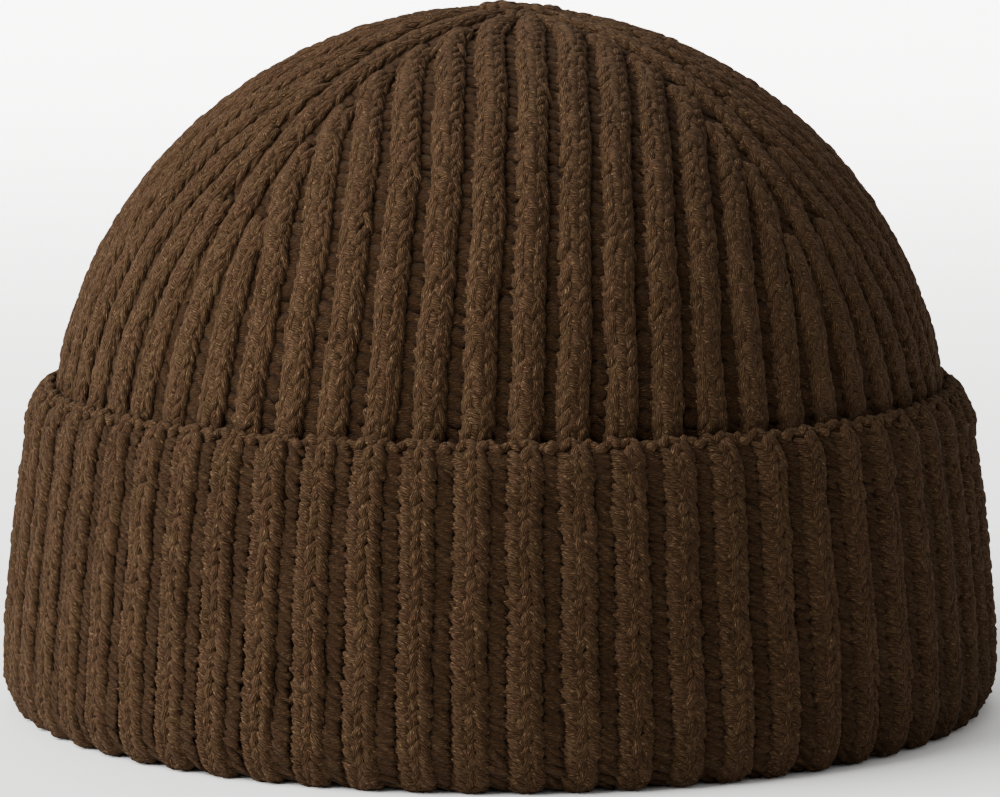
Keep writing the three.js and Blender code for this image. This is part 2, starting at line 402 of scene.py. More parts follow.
def rib_place(angle, radius):
    """The reverse of panel_angle: which rib, in parts, lies at an angle."""
    across = radius * np.sin(angle) / (DART_RADIUS * draw_in(radius))
    side_by_side = np.arcsin(np.clip(across, -1, 1)) / RIB_ANGLE
    return np.where(radius >= DART_RADIUS, angle / RIB_ANGLE, side_by_side)


def cuff_radius(z):
    pull = CUFF_EDGE_PULL * (z / CUFF_TOP) ** CUFF_EDGE_PULL_POWER
    return CUFF_FOOT_RADIUS - CUFF_LEAN * z - pull


def band_radius(z):
    return cuff_radius(z) - WALL - LAYER_GAP


def unit(vectors):
    return vectors / np.linalg.norm(vectors, axis=-1, keepdims=True)


def evenly_spaced(points, spacing, start):
    """Places a fixed distance apart along a line of points, with directions."""
    steps = np.linalg.norm(np.diff(points, axis=0), axis=1)
    length = np.concatenate([[0], np.cumsum(steps)])
    marks = np.arange(start, length[-1], spacing)
    places = np.stack([np.interp(marks, length, points[:, i]) for i in range(3)], axis=1)
    slopes = np.gradient(points, length, axis=0)
    along = np.stack([np.interp(marks, length, slopes[:, i]) for i in range(3)], axis=1)
    return places, unit(along), marks


def leaned(points):
    """Points of the crown once the dome's knit leans to the right."""
    across = points[:, 0] / DOME_RADIUS
    height = (points[:, 2] - DOME_BASE_Z) / DOME_RISE
    turn = TOP_LEAN * np.sqrt(np.clip(height, 0, None))
    moved = points.copy()
    moved[:, 0] = DOME_RADIUS * (across * np.cos(turn) + height * np.sin(turn))
    moved[:, 2] = DOME_BASE_Z + DOME_RISE * (height * np.cos(turn) - across * np.sin(turn))
    return moved


def dome_outward(points):
    scale = np.array([DOME_RADIUS, DOME_RADIUS, DOME_RISE]) ** 2
    return unit((points - [0, 0, DOME_BASE_Z]) / scale)


def room_to_seam(panel, points):
    """Distance from the nearer seam rib's middle, for a panel that faces front."""
    edge = seam_angle(panel)
    return -points[:, 1] * math.sin(edge) - np.abs(points[:, 0]) * math.cos(edge)


def bent_off_the_seam(panel, angle, radius):
    """A rib's angle on each ring once the seam rib has pushed it aside."""
    edge = seam_angle(panel)
    room = radius * np.sin(edge - np.abs(angle))
    over = room - SEAM_BEND_ROOM
    pushed = SEAM_BEND_ROOM + (over + np.sqrt(over ** 2 + SEAM_BEND_SOFTNESS ** 2)) / 2
    bent = edge - np.arcsin(np.clip(pushed / radius, -1, 1))
    return np.sign(angle) * np.clip(bent, 0, None), room


def crown_rib(panel, rib, settings):
    """Stitch places up one rib of a panel that faces front, or the seam rib after."""
    steepest = math.asin((CROWN_STITCHES_START_Z - DOME_BASE_Z) / DOME_RISE)
    highest = math.acos(CROWN_STITCHES_END_RADIUS / DOME_RADIUS)
    climb = np.linspace(steepest, highest, CLIMB_STEPS)
    radius = DOME_RADIUS * np.cos(climb)
    is_seam = rib > panel["ribs_beside"]
    if is_seam:
        angle = np.full_like(radius, seam_angle(panel))
        room = np.full_like(radius, SEAM_BEND_ROOM)
    else:
        angle, room = bent_off_the_seam(panel, panel_angle(rib, radius), radius)
    padded = np.pad(angle, RIB_TURN_STEPS // 2, mode="edge")
    angle = np.convolve(padded, np.hanning(RIB_TURN_STEPS), "same")
    angle = angle[RIB_TURN_STEPS // 2:-(RIB_TURN_STEPS // 2)] / np.hanning(RIB_TURN_STEPS).sum()
    points = np.stack([
        radius * np.sin(angle),
        -radius * np.cos(angle),
        DOME_BASE_Z + DOME_RISE * np.sin(climb),
    ], axis=1)
    meets_seam = room < SEAM_END_ROOM
    points = points[:np.argmax(meets_seam)] if meets_seam.any() else points
    places, along, marks = evenly_spaced(points, settings.crown_course, 0)
    nearness = np.hypot(places[:, 0], places[:, 1]) / DOME_RADIUS
    return {
        "places": places, "along": along, "out": dome_outward(places), "marks": marks,
        "seam": is_seam, "room": None,
        "width": RIB_TOP_WIDTH + (1 - RIB_TOP_WIDTH) * nearness ** RIB_WIDTH_POWER,
        "swell": SWELL * dome_outward(places),
        "tone": 0.0, "bar_half_width": CROWN_BAR_HALF_WIDTH,
        "bar_shifts": [0], "bar_rings": 4,
        "valley": CROWN_BAR_SINK + CROWN_BAR_SINK_MORE * nearness ** CROWN_BAR_SINK_POWER,
    }


def cuff_outline():
    """The rib tops of the cuff as radius and height, from edge to inner leg."""
    turn = np.linspace(0, math.pi / 2, EDGE_POINTS)
    edge_reach = cuff_radius(CUFF_EDGE_ROUND_Z) - CUFF_EDGE_RADIUS
    edge_rise = CUFF_TOP - CUFF_EDGE_ROUND_Z
    edge = np.stack([
        CUFF_EDGE_RADIUS + edge_reach * np.sin(turn),
        CUFF_EDGE_ROUND_Z + edge_rise * np.cos(turn),
    ], axis=1)
    wall_z = np.linspace(CUFF_EDGE_ROUND_Z, FOLD_ROUND_Z, WALL_POINTS)[1:]
    wall = np.stack([cuff_radius(wall_z), wall_z], axis=1)
    fold_turn = np.linspace(0, math.pi, FOLD_POINTS)[1:]
    reach = cuff_radius(FOLD_ROUND_Z) - FOLD_MIDDLE_RADIUS
    power = 2 / FOLD_FULLNESS
    sideways = np.sign(np.cos(fold_turn)) * np.abs(np.cos(fold_turn)) ** power
    fold = np.stack([
        FOLD_MIDDLE_RADIUS + reach * sideways,
        FOLD_ROUND_Z * (1 - np.sin(fold_turn) ** power),
    ], axis=1)
    inner_z = np.linspace(FOLD_ROUND_Z, CUFF_STITCHES_END_Z, INNER_POINTS)[1:]
    inner_radius = np.linspace(fold[-1, 0], CUFF_STITCHES_END_RADIUS, INNER_POINTS)[1:]
    inner = np.stack([inner_radius, inner_z], axis=1)
    return np.concatenate([edge, wall, fold, inner])


def ring_points(outline, angle):
    """An outline of radii and heights, stood up at an angle from the front."""
    return np.stack([
        outline[:, 0] * math.sin(angle), -outline[:, 0] * math.cos(angle), outline[:, 1],
    ], axis=1)


def cuff_rib(rib, settings):
    """Stitch places down one rib of the cuff, round the fold and up inside."""
    angle = rib * RIB_ANGLE
    points = ring_points(cuff_outline(), angle)
    course = settings.cuff_course
    places, along, marks = evenly_spaced(points, course, CUFF_FIRST_ROW * course)
    sideways = np.array([math.cos(angle), math.sin(angle), 0.0])
    out = unit(np.cross(along, sideways))
    swell = SWELL * np.clip(places[:, 2] / SWELL_FULL_Z, 0, 1)[:, None]
    below = 1 - np.clip(places[:, 2] / FOLD_ROUND_Z, 0, 1)
    return {
        "places": places, "along": along, "out": out, "marks": marks,
        "room": None, "width": np.ones(len(places)),
        "swell": swell * out * [1, 1, 0],
        "tone": CUFF_PAINTED_SHADE, "bar_half_width": CUFF_BAR_HALF_WIDTH,
        "bar_shifts": [0, course / 2], "bar_rings": 3,
        "valley": CUFF_BAR_SINK + CUFF_BAR_SINK_BELOW * below,
    }


def yarn_template(around, rings):
    """A unit leg of yarn from a sphere: x across, y out of the knit, z along."""
    mesh = bmesh.new()
    bmesh.ops.create_uvsphere(mesh, u_segments=around, v_segments=rings, radius=1.0)
    bmesh.ops.triangulate(mesh, faces=mesh.faces)
    mesh.verts.ensure_lookup_table()
    points = np.array([vert.co for vert in mesh.verts])
    faces = np.array([[vert.index for vert in face.verts] for face in mesh.faces])
    mesh.free()
    ring = np.hypot(points[:, 0], points[:, 1])
    fuller = np.where(ring > TINY, ring ** LEG_FULLNESS / np.maximum(ring, TINY), 0)
    shaped = points * np.stack([fuller, fuller, np.ones_like(fuller)], axis=1)
    turn = np.arctan2(points[:, 0], points[:, 1])[faces]
    at_pole = ring[faces] < TINY
    first = np.where(at_pole[:, :1], turn[:, 1:2], turn[:, :1])
    turn = first + (turn - first + math.pi) % (2 * math.pi) - math.pi
    others = np.where(at_pole, 0, turn).sum(axis=1, keepdims=True) / 2
    turn = np.where(at_pole, others, turn)
    return {"points": shaped, "faces": faces, "turn": turn}


def copies_of_yarn(template, legs):
    """Joined copies of a leg: points, faces, map coordinates and tones.

    Each leg has a centre, along, out, size (across, thick, half length), arch
    and twist. Its map runs along the fibres in metres, from a place of its own.
    """
    count = len(legs["centre"])
    unit_points = template["points"]
    across = np.cross(legs["along"], legs["out"])
    x = unit_points[None, :, 0] * legs["size"][:, None, 0]
    z = unit_points[None, :, 2] * legs["size"][:, None, 2]
    y = unit_points[None, :, 1] * legs["size"][:, None, 1]
    y = y - legs["arch"][:, None] * unit_points[None, :, 2] ** 2
    points = (
        legs["centre"][:, None, :]
        + across[:, None, :] * x[..., None]
        + legs["out"][:, None, :] * y[..., None]
        + legs["along"][:, None, :] * z[..., None]
    )
    shift = np.arange(count)[:, None, None] * len(unit_points)
    faces = template["faces"][None] + shift
    round_way = template["turn"][None] * legs["size"][:, None, None, 0]
    long_way = unit_points[template["faces"], 2][None] * legs["size"][:, None, None, 2]
    twist = legs["twist"][:, None, None]
    place = legs["place"]
    u = np.cos(twist) * round_way - np.sin(twist) * long_way + place[:, 0, None, None]
    v = np.sin(twist) * round_way + np.cos(twist) * long_way + place[:, 1, None, None]
    uv = np.stack([u, v], axis=-1)
    tones = np.repeat(legs["tone"], len(unit_points))
    return points.reshape(-1, 3), faces.reshape(-1, 3), uv.reshape(-1, 2), tones


def joined(parts):
    """Several sets of copies as one: points, faces, map coordinates, tones."""
    shift = 0
    faces = []
    for part in parts:
        faces.append(part[1] + shift)
        shift += len(part[0])
    points, maps, tones = (np.concatenate([part[i] for part in parts]) for i in (0, 2, 3))
    return points, np.concatenate(faces), maps, tones


def finished(name, mesh, material):
    """A mesh smoothed, given its material and linked as an object."""
    mesh.shade_smooth()
    mesh.materials.append(material)
    piece = bpy.data.objects.new(name, mesh)
    bpy.context.collection.objects.link(piece)
    return piece


def yarn_piece(name, points, faces, maps, tones):
    """A piece made of legs of yarn, with its map and the tone of each leg."""
    mesh = bpy.data.meshes.new(name)
    mesh.from_pydata(points, [], faces)
    mesh.uv_layers.new(name="yarn").data.foreach_set("uv", maps.astype(np.float32).ravel())
    # The tone holds each leg's random tone and the painted shade of the cuff and of the valley
    # bars.
    tone = mesh.attributes.new("tone", "FLOAT", "POINT")
    tone.data.foreach_set("value", tones.astype(np.float32))
    return finished(name, mesh, material_of(soft_spun_yarn))


def seat(piece, node):
    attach(piece, "root")
    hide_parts(node)


def turned(vectors, angle):
    """Vectors turned about the hat's axis, from the front toward the right."""
    c, s = math.cos(angle), math.sin(angle)
    return vectors @ np.array([[c, s, 0], [-s, c, 0], [0, 0, 1]])


def rolled(across, out, degrees):
    """The across and out directions, rolled over the side of a rib."""
    angle = math.radians(degrees)
    c, s = math.cos(angle), math.sin(angle)
    return across * c - out * s, out * c + across * s


def lean(along, across, degrees):
    angle = np.radians(degrees)[:, None]
    return along * np.cos(angle) + across * np.sin(angle)


def yarn_legs(centre, along, out, sizes, arch, twist, tones, random):
    """Legs of yarn, each with its own place, direction, size, map and tone."""
    count = len(centre)
    return {
        "centre": centre, "along": along, "out": out, "size": sizes,
        "arch": np.full(count, arch),
        "twist": np.full(count, math.radians(twist)),
        "place": random.uniform(0, 1, (count, 2)),
        "tone": random.uniform(*tones, count),
    }


def legs_on_rib(path, leg, settings, random):
    """One column of legs up a rib, cut off where the seam rib begins."""
    count = len(path["places"])
    across = np.cross(path["along"], path["out"])
    sway = settings.wander * np.sin(path["marks"] / path["wave"] + path["phase"])
    offset = leg["offset"] * MM * path["width"] + sway + random.normal(0, LEG_SIDE_SPREAD, count)
    sink = leg["sink"] * MM + random.normal(0, LEG_SINK_SPREAD, count)
    centre = path["places"] + path["swell"] + across * offset[:, None]
    centre = centre - path["out"] * sink[:, None] + path["along"] * leg["shift"] * MM
    kept, dip = near_the_seam(path, centre)
    across, out = rolled(across, path["out"], leg["roll"])
    centre = centre - out * LEG_THICK - path["out"] * dip[:, None]
    size = np.array([leg["half"] * MM, LEG_THICK, leg["long"] / 2 * MM])
    sizes = size * (1 + random.normal(0, LEG_SIZE_SPREAD, (count, 3)))
    sizes[:, 0] *= path["width"]
    along = lean(path["along"], across, leg["lean"] + random.normal(0, LEG_LEAN_SPREAD, count))
    legs = yarn_legs(
        centre, along, out, sizes, leg["arch"] * MM, leg["twist"], PLAIN_TONES, random,
    )
    # The path's tone is painted shade: none on the crown, darker on the cuff.
    legs["tone"] += path["tone"]
    return {key: value[kept] for key, value in legs.items()}


def near_the_seam(path, centre):
    """Which stitches stay clear of the seam rib, and how far each one dips."""
    count = len(centre)
    if path["room"] is None:
        return np.ones(count, bool), np.zeros(count)
    room = path["room"](centre) - SEAM_RIB_ROOM
    return room > 0, RIB_END_SINK * np.clip(1 - room / RIB_END_FADE, 0, 1) ** 2


def bars_beside_rib(path, offset, shift, random):
    """Bars across the valley beside a rib, one to a row, all moved by a shift."""
    count = len(path["places"])
    across = np.cross(path["along"], path["out"])
    centre = path["places"] + across * (offset * path["width"])[:, None]
    centre = centre + path["along"] * shift
    kept = near_the_seam(path, centre)[0]
    sink = path["valley"] + BAR_THICK + random.normal(0, BAR_SINK_SPREAD, count)
    centre = centre - path["out"] * sink[:, None]
    tilt = 90 + random.normal(BAR_SLANT, BAR_SLANT_SPREAD, count)
    size = np.array([path["bar_half_width"], BAR_THICK, BAR_LENGTH / 2])
    sizes = size * (1 + random.normal(0, BAR_SIZE_SPREAD, (count, 3)))
    along = lean(path["along"], across, tilt)
    # The bars' negative tones paint the valley's shade into their colour.
    legs = yarn_legs(
        centre, along, path["out"], sizes, BAR_SAG, FIBRE_TWIST, BAR_PAINTED_SHADE_TONES, random,
    )
    # The cuff's bars take back half of the cuff's painted shade.
    legs["tone"] -= path["tone"] / 2
    return {key: value[kept] for key, value in legs.items()}


def knit_ribs(paths, columns, bar_offset, settings, random):
    """All legs and bars of some ribs as one set of points and faces."""
    templates = {sides: yarn_template(sides, sides - 1) for sides in (5, 6)}
    slim = {rings: yarn_template(4, rings) for rings in (3, 4)}
    parts = []
    for path in paths:
        path["wave"] = random.uniform(*WANDER_LENGTHS) * MM
        path["phase"] = random.uniform(0, 2 * math.pi)
        for column in columns:
            leg = dict(zip(LEG_COLUMNS, column))
            legs = legs_on_rib(path, leg, settings, random)
            parts.append(copies_of_yarn(templates[leg["sides"]], legs))
        for shift in path["bar_shifts"]:
            bars = bars_beside_rib(path, bar_offset, shift, random)
            parts.append(copies_of_yarn(slim[path["bar_rings"]], bars))
    return joined([part for part in parts if len(part[0])])


def loose_legs(places, along, out, size, lean_degrees, random):
    """Single legs of yarn, each with its own place, direction and lean."""
    leaning = lean(along, np.cross(along, out), lean_degrees)
    sizes = np.array(size) * (1 + random.normal(0, LOOSE_SIZE_SPREAD, (len(places), 3)))
    return yarn_legs(
        places, leaning, out, sizes, LOOSE_ARCH, FIBRE_TWIST, PLAIN_TONES, random,
    )


def ring_frame(angles, slope):
    """Directions round a ring and out of it, tilted up by a slope in degrees."""
    flat = np.zeros_like(angles)
    round_way = np.stack([np.cos(angles), np.sin(angles), flat], axis=1)
    outward = np.stack([np.sin(angles), -np.cos(angles), flat], axis=1)
    up = np.array([0.0, 0.0, 1.0])
    tilt = math.radians(slope)
    return round_way, outward, outward * math.cos(tilt) + up * math.sin(tilt)


def crown_paths(panel, settings):
    """The ribs of one panel and the seam rib after them, turned into place."""
    turn = panel["middle_rib"] * RIB_ANGLE
    paths = []
    for rib in range(-panel["ribs_beside"], panel["ribs_beside"] + 2):
        path = crown_rib(panel, rib, settings)
        for key in ("places", "along", "out", "swell"):
            path[key] = turned(path[key], turn)
        if not path["seam"]:
            path["room"] = lambda points: room_to_seam(panel, turned(points, -turn))
        paths.append(path)
    return paths


def cuff_paths(quarter, settings):
    ribs = RIB_COUNT // len(PANELS)
    first = quarter * ribs - ribs // 2
    return [cuff_rib(rib, settings) for rib in range(first, first + ribs)]


def rib_profile(parts_of_rib):
    """How high the knit stands, from 0 in a valley to 1 on a rib."""
    nearness = np.abs((parts_of_rib + 0.5) % 1 - 0.5)
    return 1 - np.clip((nearness - RIB_FLAT) / RIB_SLOPE, 0, 1) ** RIB_SLOPE_POWER


def spun_wall(outline, closes):
    """A wall spun from an outline of radii and heights, as a bmesh."""
    wall = bmesh.new()
    verts = [wall.verts.new((0, -radius, z)) for radius, z in outline]
    edges = [wall.edges.new(pair) for pair in zip(verts, verts[1:])]
    if closes:
        edges.append(wall.edges.new((verts[-1], verts[0])))
    bmesh.ops.spin(
        wall, geom=verts + edges, axis=(0, 0, 1), cent=(0, 0, 0),
        angle=2 * math.pi, steps=BACKING_STEPS, use_merge=True,
    )
    bmesh.ops.remove_doubles(wall, verts=wall.verts, dist=MERGE_DISTANCE)
    bmesh.ops.recalc_face_normals(wall, faces=wall.faces)
    return wall


def ground_piece(name, wall, moved, maps):
    """Puts moved points and a map of rib and row into a spun wall."""
    mesh = bpy.data.meshes.new(name)
    wall.to_mesh(mesh)
    wall.free()
    mesh.vertices.foreach_set("co", moved.astype(np.float32).ravel())
    corners = np.zeros(len(mesh.loops), int)
    mesh.loops.foreach_get("vertex_index", corners)
    layer = mesh.uv_layers.new(name="yarn")
    layer.data.foreach_set("uv", maps[corners].astype(np.float32).ravel())
    return finished(name, mesh, material_of(knit_ground))


def add_node(tree, kind, inputs=None, **settings):
    """Adds a node with its settings. An input is a value or another's output."""
    node = tree.nodes.new(kind)
    for key, value in settings.items():
        setattr(node, key, value)
    for key, value in (inputs or {}).items():
        if isinstance(value, bpy.types.NodeSocket):
            tree.links.new(value, node.inputs[key])
        else:
            node.inputs[key].default_value = value
    return node


def maths(tree, operation, *values, **settings):
    """The result of a math node on some values."""
    inputs = dict(enumerate(values))
    return add_node(tree, "ShaderNodeMath", inputs, operation=operation, **settings).outputs[0]


def noise(tree, place, scale, detail, **more):
    inputs = {"Vector": place, "Scale": scale, "Detail": detail, **more}
    return add_node(tree, "ShaderNodeTexNoise", inputs).outputs


def ramp(tree, value, low, high, first=0.0, last=1.0):
    """From first to last while a value goes from low to high."""
    return add_node(tree, "ShaderNodeMapRange", {
        "Value": value, "From Min": low, "From Max": high, "To Min": first, "To Max": last,
    }).outputs[0]


def mixed(tree, share, first, second):
    """The first colour with a share of the second."""
    inputs = {"Factor": share, "A": first, "B": second}
    return add_node(tree, "ShaderNodeMix", inputs, data_type="RGBA").outputs["Result"]


def fuzzy_surface(tree, colour, relief, distance, roughness, sheen):
    """Yarn's matt surface. It reflects almost nothing, with a faint warm bloom."""
    bump = add_node(tree, "ShaderNodeBump", {
        "Height": relief, "Strength": 1.0, "Distance": distance,
    })
    shader = add_node(tree, "ShaderNodeBsdfPrincipled", {
        "Base Color": colour, "Normal": bump.outputs[0], "Roughness": roughness,
        "Specular IOR Level": 0.03, "Sheen Weight": sheen, "Sheen Roughness": 0.5,
        "Sheen Tint": (0.6, 0.42, 0.3, 1),
    })
    add_node(tree, "ShaderNodeOutputMaterial", {"Surface": shader.outputs[0]})


def yarn_colours(settings):
    """The yarn's dark, light and pale colours, with an alpha of 1. The dark one also
    paints shade, and the pale one highlights.
    """
    colours = settings.yarn_dark, settings.yarn_light, settings.yarn_hairs
    return [[*colour, 1] for colour in colours]


def new_material(name):
    material = bpy.data.materials.new(name)
    material.use_nodes = True
    material.node_tree.nodes.clear()
    return material


# Soft spun two-ply yarn of wool and acrylic. Its fibres wind round each leg,
# so the light catches fine slanting lines, which are partly painted highlight
# and shade, and it is matt with a faint bloom.
# Real fibres are 0.03 mm thick, too fine to show, so they are drawn as strands
# 0.30 mm apart in plies 0.45 mm apart.
def soft_spun_yarn(settings):
    material = new_material("soft_spun_yarn")
    tree = material.node_tree
    plain = add_node(tree, "ShaderNodeUVMap", uv_map="yarn").outputs[0]
    waves = noise(tree, plain, 1 / STRAND_WAVE_LENGTH, 1.0)
    centred = add_node(tree, "ShaderNodeVectorMath", {
        0: waves["Color"], 1: (0.5, 0.5, 0.5),
    }, operation="SUBTRACT")
    wavy = add_node(tree, "ShaderNodeVectorMath", {
        0: centred.outputs[0], 1: (STRAND_WAVE,) * 3, 2: plain,
    }, operation="MULTIPLY_ADD")
    place = wavy.outputs[0]
    stretched = add_node(tree, "ShaderNodeMapping", {
        "Vector": place, "Scale": (1 / STRAND_SPACING, 1 / STRAND_LENGTH, 1),
    })
    strokes = noise(tree, stretched.outputs[0], 1.0, 2.0, Roughness=0.55)
    bends = noise(tree, place, 1 / PLY_BEND_LENGTH, 1.0)
    parts = add_node(tree, "ShaderNodeSeparateXYZ", {0: place})
    turns = maths(tree, "MULTIPLY", parts.outputs[0], 2 * math.pi / PLY_SPACING)
    bent = maths(tree, "MULTIPLY_ADD", bends["Fac"], PLY_BEND, turns)
    wave = maths(tree, "SINE", bent)
    strands = maths(tree, "MULTIPLY_ADD", wave, PLY_SHARE, strokes["Fac"])
    body = add_node(tree, "ShaderNodeTexCoord").outputs["Object"]
    drift = noise(tree, body, DRIFT_PER_METRE, 2.0)
    # The tone brings in the painted shade of the cuff and the valley bars.
    tone = add_node(tree, "ShaderNodeAttribute", attribute_name="tone").outputs["Fac"]
    toned = maths(tree, "MULTIPLY_ADD", tone, TONE_SHARE, strands)
    drifted = maths(tree, "MULTIPLY_ADD", drift["Fac"], DRIFT_SHARE, toned)
    dark, light, pale = yarn_colours(settings)
    # The colour follows the strands' relief: darker in the grooves, which is painted shade, and
    # lighter on the tops, partly painted highlight.
    colour = mixed(tree, ramp(tree, drifted, ALL_DARK, ALL_LIGHT), dark, light)
    along_hairs = add_node(tree, "ShaderNodeMapping", {
        "Vector": place, "Location": HAIR_PLACE, "Rotation": (0, 0, HAIR_TURN),
        "Scale": (1 / HAIR_WIDTH, 1 / HAIR_LENGTH, 1),
    })
    hairs = noise(tree, along_hairs.outputs[0], 1.0, 1.0)
    hair_share = ramp(tree, hairs["Fac"], HAIRS_FROM, HAIRS_FULL, last=HAIRS_AT_MOST)
    # The dark bars in the valleys have few pale fibres or none: low tones, which
    # paint their shade, take the pale fibres away.
    outside_painted_shade = maths(tree, "MULTIPLY_ADD", tone, HAIRS_LOST_PER_TONE, 1.0, use_clamp=True)
    shown_hairs = maths(tree, "MULTIPLY", hair_share, outside_painted_shade)
    # The pale fibres lie over the colour as loose fibres and as painted highlight.
    with_hairs = mixed(tree, shown_hairs, colour, pale)
    heather = noise(tree, body, HEATHER_PER_METRE, 1.0)
    reddish = ramp(tree, heather["Fac"], NOISE_LOW, NOISE_HIGH, *HEATHER_HUES)
    heathered = add_node(tree, "ShaderNodeHueSaturation", {"Hue": reddish, "Color": with_hairs})
    fuzzy_surface(tree, heathered.outputs[0], strands, STRAND_RELIEF, 0.85, 0.05)
    return material


# The same yarn seen as the knit's ground: the valleys outside, and the ribs
# inside the hat, where rows of V stitches show as a fine relief.
def knit_ground(settings):
    material = new_material("knit_ground")
    tree = material.node_tree
    place = add_node(tree, "ShaderNodeUVMap", uv_map="yarn").outputs[0]
    parts = add_node(tree, "ShaderNodeSeparateXYZ", {0: place})
    wale = maths(tree, "PINGPONG", parts.outputs[0], GROUND_V_WIDTH)
    slanted = maths(tree, "MULTIPLY_ADD", wale, GROUND_V_SLANT, parts.outputs[1])
    rows = maths(tree, "PINGPONG", slanted, GROUND_ROW)
    body = add_node(tree, "ShaderNodeTexCoord").outputs["Object"]
    fuzz = noise(tree, body, FUZZ_PER_METRE, 3.0, Roughness=0.6)
    relief = maths(tree, "MULTIPLY_ADD", fuzz["Fac"], FUZZ_SHARE, rows)
    light_share = ramp(tree, fuzz["Fac"], NOISE_LOW, FUZZ_LIGHT, last=FUZZ_LIGHT)
    dark, light, _ = yarn_colours(settings)
    colour = mixed(tree, light_share, dark, light)
    fuzzy_surface(tree, colour, relief, GROUND_RELIEF, 0.9, 0.04)
    return material


# Matt, even white studio paint.
def studio_paint(settings):
    material = new_material("studio_paint")
    tree = material.node_tree
    shader = add_node(tree, "ShaderNodeBsdfPrincipled", {
        "Base Color": [*settings.floor_colour, 1],
        "Roughness": 0.9,
        "Specular IOR Level": 0.1,
    })
    add_node(tree, "ShaderNodeOutputMaterial", {"Surface": shader.outputs[0]})
    return material


def material_of(maker):
    """The material named like its maker, made when first asked for."""
    return bpy.data.materials.get(maker.__name__) or maker(settings_now())


class KNITHAT_OT_crown_stitches(bpy.types.Operator):
    """Knit the four panels of the crown, each with the seam rib on its right"""

    bl_idname = "knit_hat.crown_stitches"
    bl_label = "Crown Stitches"

    def execute(self, context):
        settings = settings_now()
        for side, panel in PANELS.items():
            random = np.random.default_rng(RANDOM_SEED + panel["middle_rib"])
            paths = crown_paths(panel, settings)
            points, *rest = knit_ribs(paths, CROWN_LEGS, CROWN_BAR_OFFSET, settings, random)
            piece = yarn_piece(f"crown_panel_{side}", leaned(points), *rest)
            seat(piece, "crown")
        return {"FINISHED"}


class KNITHAT_OT_cuff_stitches(bpy.types.Operator):
    """Knit the cuff in quarters, from its upper edge round the fold to the inside"""

    bl_idname = "knit_hat.cuff_stitches"
    bl_label = "Cuff Stitches"

    def execute(self, context):
        settings = settings_now()
        for quarter, side in enumerate(PANELS):
            random = np.random.default_rng(2 * RANDOM_SEED + quarter)
            paths = cuff_paths(quarter, settings)
            points, *rest = knit_ribs(paths, CUFF_LEGS, CUFF_BAR_OFFSET, settings, random)
            points[:, 2] = np.maximum(points[:, 2], FLOOR_ROOM)
            piece = yarn_piece(f"cuff_{side}", points, *rest)
            seat(piece, "cuff")
        return {"FINISHED"}


class KNITHAT_OT_cuff_edge(bpy.types.Operator):
    """Lay the cast-on edge along the cuff's top, with a bead in each valley"""

    bl_idname = "knit_hat.cuff_edge"
    bl_label = "Cuff Edge"

    def execute(self, context):
        random = np.random.default_rng(3 * RANDOM_SEED)
        count = RIB_COUNT * EDGE_LEGS_PER_RIB
        angles = np.arange(count) * 2 * math.pi / count
        round_way, outward, out = ring_frame(angles, EDGE_SLOPE)
        places = outward * EDGE_RADIUS
        places[:, 2] = EDGE_Z + EDGE_WAVE * np.cos(RIB_COUNT * angles)
        places = places + random.normal(0, EDGE_PLACE_SPREAD, (count, 3))
        leans = np.where(np.arange(count) % 2, EDGE_LEAN, -EDGE_LEAN)
        leans = leans + random.normal(0, EDGE_LEAN_SPREAD, count)
        chain = loose_legs(places, round_way, out, EDGE_LEG_SIZE, leans, random)
        bead_angles = (np.arange(RIB_COUNT) + 0.5) * RIB_ANGLE
        round_way, outward, out = ring_frame(bead_angles, 0)
        places = outward * BEAD_RING_RADIUS
        places[:, 2] = BEAD_Z
        size = (BEAD_RADIUS, BEAD_RADIUS, BEAD_LONGER * BEAD_RADIUS)
        leans = random.normal(BEAD_LEAN, BEAD_LEAN_SPREAD, RIB_COUNT)
        beads = loose_legs(places, round_way, out, size, leans, random)
        full = yarn_template(6, 5)
        edge = joined([copies_of_yarn(full, chain), copies_of_yarn(full, beads)])
        piece = yarn_piece("cuff_edge", *edge)
        seat(piece, "cuff")
        return {"FINISHED"}


class KNITHAT_OT_top_gather(bpy.types.Operator):
    """Draw in the top with rings of short legs round a small knot"""

    bl_idname = "knit_hat.top_gather"
    bl_label = "Top Gather"

    def execute(self, context):
        random = np.random.default_rng(4 * RANDOM_SEED)
        full = yarn_template(8, 6)
        parts = []
        for ring in GATHER_RINGS:
            count = ring["legs"]
            angles = np.arange(count) * 2 * math.pi / count
            angles = angles + random.normal(0, GATHER_TURN_SPREAD, count)
            round_way, outward, out = ring_frame(angles, GATHER_SLOPE)
            radius = ring["radius"] * MM
            places = outward * radius
            places[:, 0] -= ring["left"] * MM
            places[:, 2] = dome_height(radius) + (ring["rise"] - 1) * MM
            leans = ring["lean"] + random.normal(0, GATHER_LEAN_SPREAD, count)
            legs = loose_legs(places, round_way, out, GATHER_LEG_SIZE, leans, random)
            parts.append(copies_of_yarn(full, legs))
        points, *rest = joined(parts)
        piece = yarn_piece("top_gather", leaned(points), *rest)
        seat(piece, "crown")
        return {"FINISHED"}


def wall_points(wall):
    wall.verts.ensure_lookup_table()
    return np.array([vert.co for vert in wall.verts])


def around(points):
    """Angle from the front, toward the right, and distance from the axis."""
    return np.arctan2(points[:, 0], -points[:, 1]), np.hypot(points[:, 0], points[:, 1])


